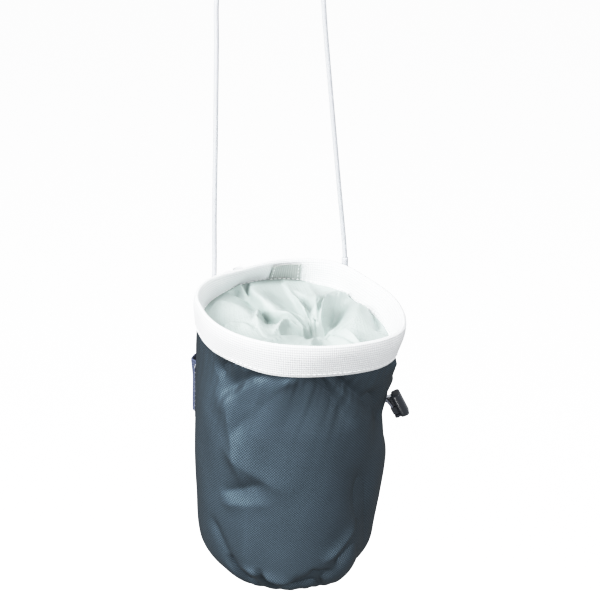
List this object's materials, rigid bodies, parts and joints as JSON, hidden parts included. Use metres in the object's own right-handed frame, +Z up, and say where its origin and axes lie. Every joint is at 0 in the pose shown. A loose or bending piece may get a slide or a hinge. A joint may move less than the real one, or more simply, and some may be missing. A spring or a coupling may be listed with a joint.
{
  "type": "climbing chalk bag",
  "caption": "Round soft bag with a webbing rim, a gathered lining over its mouth, a brush loop, a push-button cord lock, belt loops and a thin sling cord it hangs from.",
  "frame": {"origin": "inside of the sling cord's crown, where the bag hangs", "axes": "+Z up along the hanging bag, +X to the right and +Y to the back for someone who faces the bag's front"},
  "size_m": [0.127, 0.1329, 0.376],
  "materials": {
    "shell_fabric": "satin",
    "rim_webbing": "matte",
    "lining_fabric": "satin",
    "patch_webbing": "matte",
    "brush_webbing": "matte",
    "white_cord": "matte",
    "lock_plastic": "gloss",
    "tab_webbing": "matte"
  },
  "bodies": {
    "bag": {"shell": "shell_fabric", "rim_band": "rim_webbing", "lining_collar": "lining_fabric", "rim_patch": "patch_webbing", "brush_loop": "brush_webbing", "belt_loop_left": "rim_webbing", "belt_loop_right": "rim_webbing", "cord_lock_body": "lock_plastic", "lock_tab": "tab_webbing", "drawcord": "white_cord", "sling_cord": "white_cord", "cord_sleeve": "white_cord"},
    "lock_button": {"cord_lock_button": "lock_plastic"}
  },
  "joints": [
    {"name": "lock_button_press", "type": "slide", "parent": "bag", "child": "lock_button", "axis": [0.8877, -0.1406, 0.4384], "range_m": [0, 0.0016], "stiffness_N_per_m": 100, "springref_m": -0.002}
  ]
}
